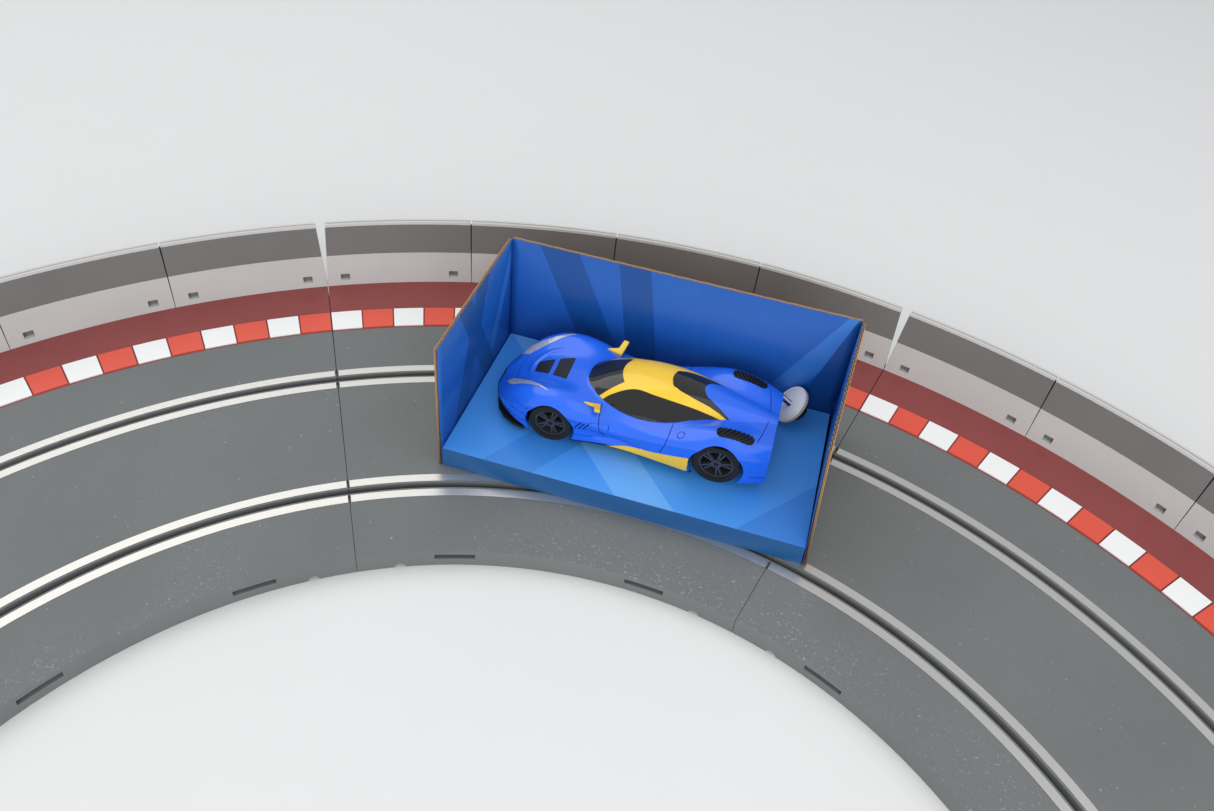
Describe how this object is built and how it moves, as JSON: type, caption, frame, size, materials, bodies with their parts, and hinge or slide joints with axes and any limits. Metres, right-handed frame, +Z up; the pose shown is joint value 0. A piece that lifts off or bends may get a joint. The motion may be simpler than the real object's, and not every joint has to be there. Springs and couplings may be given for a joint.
{
  "type": "slot car track set",
  "caption": "Two-lane slot car bend of curved sections with kerbs and crash barriers, and a corrugated display tray holding a slot car and its transit screw.",
  "frame": {"origin": "centre of the bounding box in plan, on the surface that the track lies on", "axes": "+X along the bend's chord, +Y from the bend's centre out to the barriers, +Z up; the car's nose points to -X"},
  "size_m": [0.7752, 0.3384, 0.0801],
  "materials": {
    "track_plastic": "fine asphalt texture, worn shiny on its high points",
    "rail_steel": "bright rolled strip with fine marks along it",
    "border_red": "moulded satin",
    "kerb_white": "painted, satin",
    "kerb_red": "painted, satin",
    "barrier_grey": "satin, darker upper band",
    "tray_board": "printed glossy face on brown corrugated board",
    "trim_black": "satin",
    "steel": "bright zinc plated",
    "washer_white": "smooth",
    "body_blue": "glossy moulded and lacquered",
    "body_yellow": "glossy printed",
    "dark_glazing": "dark tinted clear plastic",
    "clear_lens": "clear moulded lens",
    "lamp_red": "tinted lens",
    "magnet": "sintered, dull",
    "brass": "plain",
    "lead_insulation": "soft vinyl",
    "rim_grey": "satin gunmetal",
    "tyre": "matt rubber with a ground tread",
    "gear_nylon": "natural nylon"
  },
  "bodies": {
    "track": {"track_section_1": "track_plastic", "track_section_2": "track_plastic", "track_section_3": "track_plastic", "rails_1": "rail_steel", "rails_2": "rail_steel", "rails_3": "rail_steel", "border_1": "border_red", "border_2": "border_red", "border_3": "border_red", "kerb_pads_white": "kerb_white", "kerb_pads_red": "kerb_red", "barrier_1": "barrier_grey", "barrier_2": "barrier_grey", "barrier_3": "barrier_grey", "barrier_4": "barrier_grey", "barrier_5": "barrier_grey", "barrier_6": "barrier_grey", "barrier_7": "barrier_grey", "barrier_8": "barrier_grey", "barrier_9": "barrier_grey", "barrier_10": "barrier_grey", "barrier_11": "barrier_grey", "barrier_12": "barrier_grey"},
    "tray": {"tray_walls": "tray_board", "tray_deck": "tray_board"},
    "transit_screw": {"transit_knob": "trim_black", "transit_bolt": "steel", "transit_washers": "washer_white"},
    "car": {"car_body": "body_blue", "car_roof_panel": "body_yellow", "car_glazing": "dark_glazing", "cockpit_tray": "trim_black", "chassis": "trim_black", "front_splitter": "trim_black", "rear_diffuser": "trim_black", "side_skirts": "body_yellow", "door_mirrors": "body_yellow", "headlight_lenses": "clear_lens", "bonnet_vents": "trim_black", "rear_deck_vents": "trim_black", "tail_lights": "lamp_red", "motor_can": "steel", "motor_endbell": "trim_black", "bar_magnet": "magnet", "axle_bushes": "brass", "contact_plates": "brass", "motor_leads": "lead_insulation", "body_screws": "steel"},
    "front_wheels": {"front_axle": "steel", "front_rims": "rim_grey", "front_tyres": "tyre"},
    "rear_wheels": {"rear_axle": "steel", "rear_rims": "rim_grey", "rear_tyres": "tyre", "axle_gear": "gear_nylon"},
    "motor_rotor": {"motor_shaft": "steel", "motor_pinion": "brass"},
    "guide": {"guide_blade": "trim_black", "pickup_braids": "brass"}
  },
  "joints": [
    {"name": "tray_lift", "type": "slide", "parent": "track", "child": "tray", "axis": [0, 0, 1], "range_m": [0, 0.12]},
    {"name": "car_lift", "type": "slide", "parent": "tray", "child": "car", "axis": [0, 0, 1], "range_m": [0, 0.09]},
    {"name": "transit_screw_lift", "type": "slide", "parent": "tray", "child": "transit_screw", "axis": [0, 0, 1], "range_m": [0, 0.09]},
    {"name": "front_axle_spin", "type": "hinge", "parent": "car", "child": "front_wheels", "pos_m": [-0.00868, 0.05019, 0.03115], "axis": [0.1383, 0.9904, 0], "continuous": true},
    {"name": "rear_axle_spin", "type": "hinge", "parent": "car", "child": "rear_wheels", "pos_m": [0.07006, 0.0392, 0.03195], "axis": [0.1383, 0.9904, 0], "continuous": true},
    {"name": "motor_spin", "type": "hinge", "parent": "car", "child": "motor_rotor", "pos_m": [0.05812, 0.04086, 0.03195], "axis": [0.1383, 0.9904, 0], "continuous": true},
    {"name": "guide_swivel", "type": "hinge", "parent": "car", "child": "guide", "pos_m": [-0.02453, 0.05241, 0.02075], "axis": [0, 0, 1], "range_deg": [-38, 38]}
  ],
  "couplings": [
    {"joint": "motor_spin", "follows": "rear_axle_spin", "ratio": -3}
  ]
}
